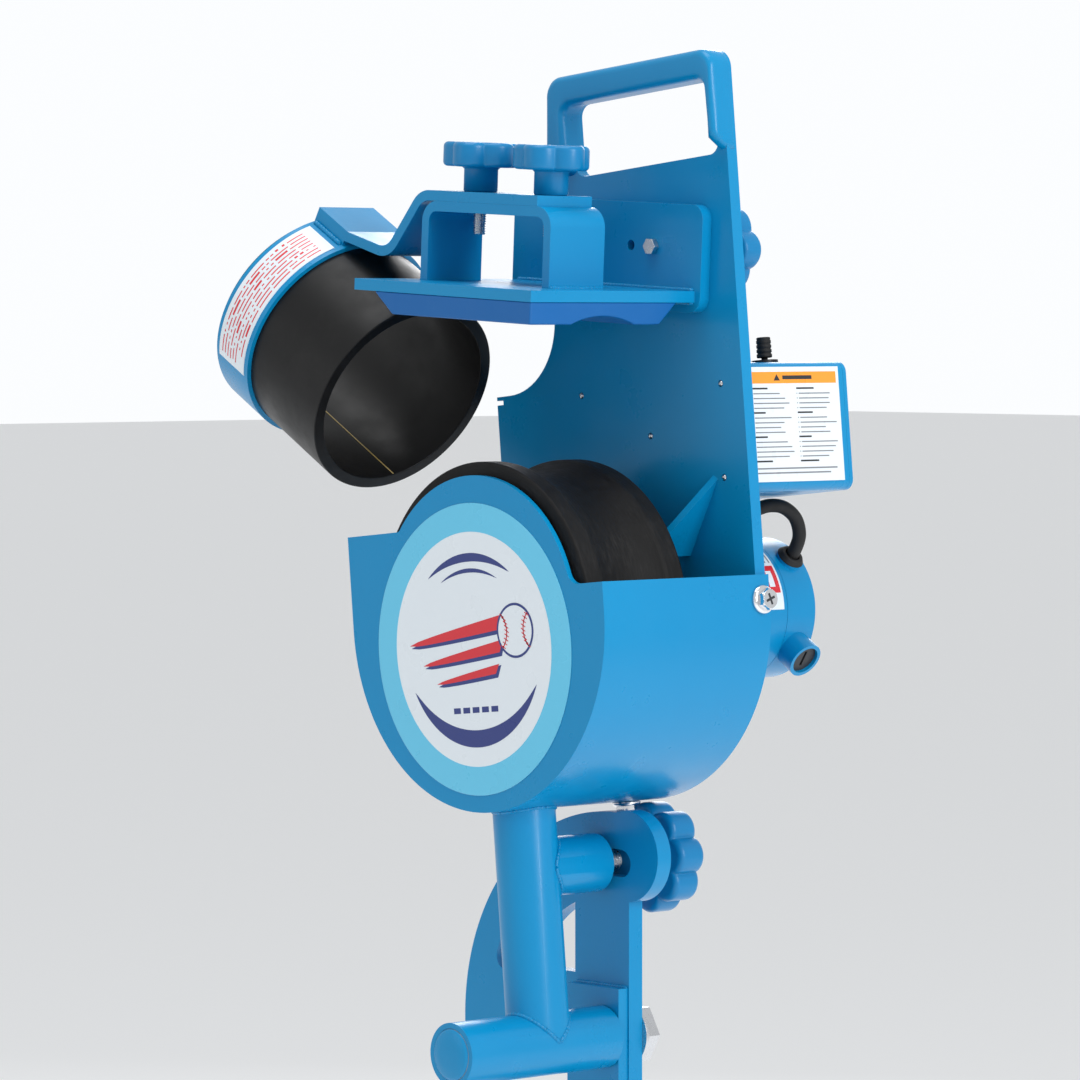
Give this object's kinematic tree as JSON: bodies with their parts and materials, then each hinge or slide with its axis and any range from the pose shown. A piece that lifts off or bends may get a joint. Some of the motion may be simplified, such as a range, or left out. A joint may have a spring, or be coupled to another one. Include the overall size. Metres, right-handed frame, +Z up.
{
  "type": "ball pitching machine",
  "caption": "Single-wheel ball pitching machine with a tilting head, a pressure shoe, a sliding feed chute, a motor with speed control and a folding tripod.",
  "frame": {"origin": "on the floor under the middle of the object's box", "axes": "+X is the throwing direction, +Y points to the motor's side, +Z is up"},
  "size_m": [0.727, 0.8314, 1.177],
  "materials": {
    "blue_paint": "gloss powder coat with a fine orange peel",
    "knob_plastic": "moulded, semi-gloss",
    "shoe_plastic": "cast urethane, satin",
    "zinc_steel": "zinc plated",
    "chrome_steel": "bright plated",
    "tread_rubber": "matt, scuffed",
    "wheel_alloy": "turned",
    "black_plastic": "satin",
    "black_rubber": "matt",
    "label": "printed sticker without lettering",
    "copper": "enamelled winding on a laminated core",
    "magnet": "ferrite",
    "carbon": "pressed carbon",
    "circuit_board": "board with parts",
    "bronze": "sintered bush"
  },
  "bodies": {
    "stand": {"column_tube": "blue_paint", "tripod_hub": "blue_paint", "hub_bolts": "zinc_steel"},
    "rear_leg": {"leg_rear": "blue_paint", "foot_rear": "black_rubber"},
    "left_leg": {"leg_left": "blue_paint", "foot_left": "black_rubber"},
    "right_leg": {"leg_right": "blue_paint", "foot_right": "black_rubber"},
    "pan_lock": {"pan_knob": "knob_plastic"},
    "swivel": {"quadrant_plate": "blue_paint", "swivel_stem": "blue_paint", "pivot_shaft": "zinc_steel"},
    "head": {"main_plate": "blue_paint", "handle_grip": "blue_paint", "wheel_housing": "blue_paint", "housing_bolts": "chrome_steel", "front_decal": "label", "shoe_bracket": "blue_paint", "shoe_block": "shoe_plastic", "bracket_screws": "zinc_steel", "shoe_stud": "zinc_steel", "chute_bracket": "blue_paint", "motor_front_cap": "blue_paint", "motor_can": "blue_paint", "motor_rear_cap": "blue_paint", "motor_magnets": "magnet", "motor_bearings": "zinc_steel", "motor_brushes": "carbon", "brush_caps": "black_plastic", "motor_screws": "zinc_steel", "motor_decal": "label", "motor_lead": "black_rubber", "lead_grommets": "black_rubber", "control_box": "blue_paint", "control_cover": "blue_paint", "control_board": "circuit_board", "cover_screws": "zinc_steel", "mains_gland": "black_plastic", "control_decal": "label", "toggle_bush": "black_plastic", "post_frame": "blue_paint", "pivot_bushes": "bronze", "tilt_bolt": "zinc_steel"},
    "wheel": {"wheel_tyre": "tread_rubber", "wheel_core": "wheel_alloy", "wheel_nut": "zinc_steel", "motor_shaft": "zinc_steel", "armature": "copper"},
    "chute": {"chute_arm": "blue_paint", "chute_tube": "black_plastic", "chute_decal": "label"},
    "front_chute_lock": {"chute_knob_front": "knob_plastic", "chute_stud_front": "zinc_steel"},
    "rear_chute_lock": {"chute_knob_rear": "knob_plastic", "chute_stud_rear": "zinc_steel"},
    "shoe_lock": {"shoe_knob": "knob_plastic"},
    "tilt_lock": {"tilt_knob": "knob_plastic"},
    "dial": {"speed_dial": "black_plastic"},
    "toggle": {"power_toggle": "black_plastic"}
  },
  "joints": [
    {"name": "rear_leg_fold", "type": "hinge", "parent": "stand", "child": "rear_leg", "pos_m": [0.0625, 0, 0.33], "axis": [0, -1, 0], "range_deg": [0, 50]},
    {"name": "left_leg_fold", "type": "hinge", "parent": "stand", "child": "left_leg", "pos_m": [0.1375, 0.0433, 0.33], "axis": [-0.866, 0.5, 0], "range_deg": [0, 50]},
    {"name": "right_leg_fold", "type": "hinge", "parent": "stand", "child": "right_leg", "pos_m": [0.1375, -0.0433, 0.33], "axis": [0.866, 0.5, 0], "range_deg": [0, 50]},
    {"name": "swivel_pan", "type": "hinge", "parent": "stand", "child": "swivel", "pos_m": [0.1125, 0, 0.602], "axis": [0, 0, 1], "continuous": true},
    {"name": "pan_lock_turn", "type": "hinge", "parent": "stand", "child": "pan_lock", "pos_m": [0.0725, 0, 0.578], "axis": [-1, 0, 0], "range_deg": [-180, 180]},
    {"name": "head_tilt", "type": "hinge", "parent": "swivel", "child": "head", "pos_m": [0.1205, -0.061, 0.66], "axis": [0, 1, 0], "range_deg": [-62, 9.5]},
    {"name": "wheel_spin", "type": "hinge", "parent": "head", "child": "wheel", "pos_m": [0.09893, -0.0385, 0.87995], "axis": [0, 1, 0], "continuous": true},
    {"name": "chute_slide", "type": "slide", "parent": "head", "child": "chute", "axis": [0.9987, 0, -0.0506], "range_m": [-0.004, 0.004]},
    {"name": "front_chute_lock_turn", "type": "hinge", "parent": "head", "child": "front_chute_lock", "pos_m": [0.11166, -0.037, 1.10102], "axis": [0.0506, 0, 0.9987], "range_deg": [-180, 180]},
    {"name": "rear_chute_lock_turn", "type": "hinge", "parent": "head", "child": "rear_chute_lock", "pos_m": [0.05613, -0.037, 1.10383], "axis": [0.0506, 0, 0.9987], "range_deg": [-180, 180]},
    {"name": "shoe_lock_turn", "type": "hinge", "parent": "head", "child": "shoe_lock", "pos_m": [0.14772, 0.05, 1.07366], "axis": [0, 1, 0], "range_deg": [-180, 180]},
    {"name": "tilt_lock_turn", "type": "hinge", "parent": "head", "child": "tilt_lock", "pos_m": [0.11157, 0.038, 0.75106], "axis": [0, 1, 0], "range_deg": [-180, 180]},
    {"name": "speed_dial_turn", "type": "hinge", "parent": "head", "child": "dial", "pos_m": [0.14651, 0.122, 0.98911], "axis": [0, 1, 0], "range_deg": [0, 270]},
    {"name": "power_toggle_throw", "type": "hinge", "parent": "head", "child": "toggle", "pos_m": [0.15632, 0.075, 1.01198], "axis": [0, 1, 0], "range_deg": [-12, 12]}
  ]
}
